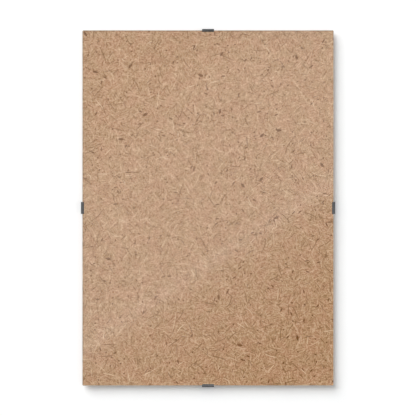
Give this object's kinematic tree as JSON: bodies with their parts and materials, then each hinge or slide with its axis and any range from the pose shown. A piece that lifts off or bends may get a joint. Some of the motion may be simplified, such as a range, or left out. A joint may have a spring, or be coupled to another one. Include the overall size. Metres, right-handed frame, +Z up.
{
  "type": "clip frame",
  "caption": "Frameless clip frame: a glass pane over a hardboard back, held by formed spring clips with keyholes at the middle of each side.",
  "frame": {"origin": "centre of the top clip's round hanging hole, on the rear face of its land, which is the nail's point on the wall", "axes": "+Z up, +X to the right seen from the front, -Y towards the viewer, so that the wall is the plane y = 0"},
  "size_m": [0.2126, 0.0092, 0.2994],
  "materials": {
    "float_glass": "clear float glass with ground arrises",
    "hardboard": "raw fibre face, flecked",
    "spring_steel": "dark blued, satin"
  },
  "bodies": {
    "panel": {"glass_pane": "float_glass", "backing_board": "hardboard"},
    "top_clip": {"clip_top": "spring_steel"},
    "right_clip": {"clip_right": "spring_steel"},
    "bottom_clip": {"clip_bottom": "spring_steel"},
    "left_clip": {"clip_left": "spring_steel"}
  },
  "joints": [
    {"name": "top_clip_swing", "type": "hinge", "parent": "panel", "child": "top_clip", "pos_m": [0, -0.0082, 0.01087], "axis": [1, 0, 0], "range_deg": [0, 70]},
    {"name": "right_clip_swing", "type": "hinge", "parent": "panel", "child": "right_clip", "pos_m": [0.10387, -0.0082, -0.1365], "axis": [0, 0, -1], "range_deg": [0, 70]},
    {"name": "bottom_clip_swing", "type": "hinge", "parent": "panel", "child": "bottom_clip", "pos_m": [0, -0.0082, -0.28387], "axis": [-1, 0, 0], "range_deg": [0, 70]},
    {"name": "left_clip_swing", "type": "hinge", "parent": "panel", "child": "left_clip", "pos_m": [-0.10387, -0.0082, -0.1365], "axis": [0, 0, 1], "range_deg": [0, 70]}
  ]
}
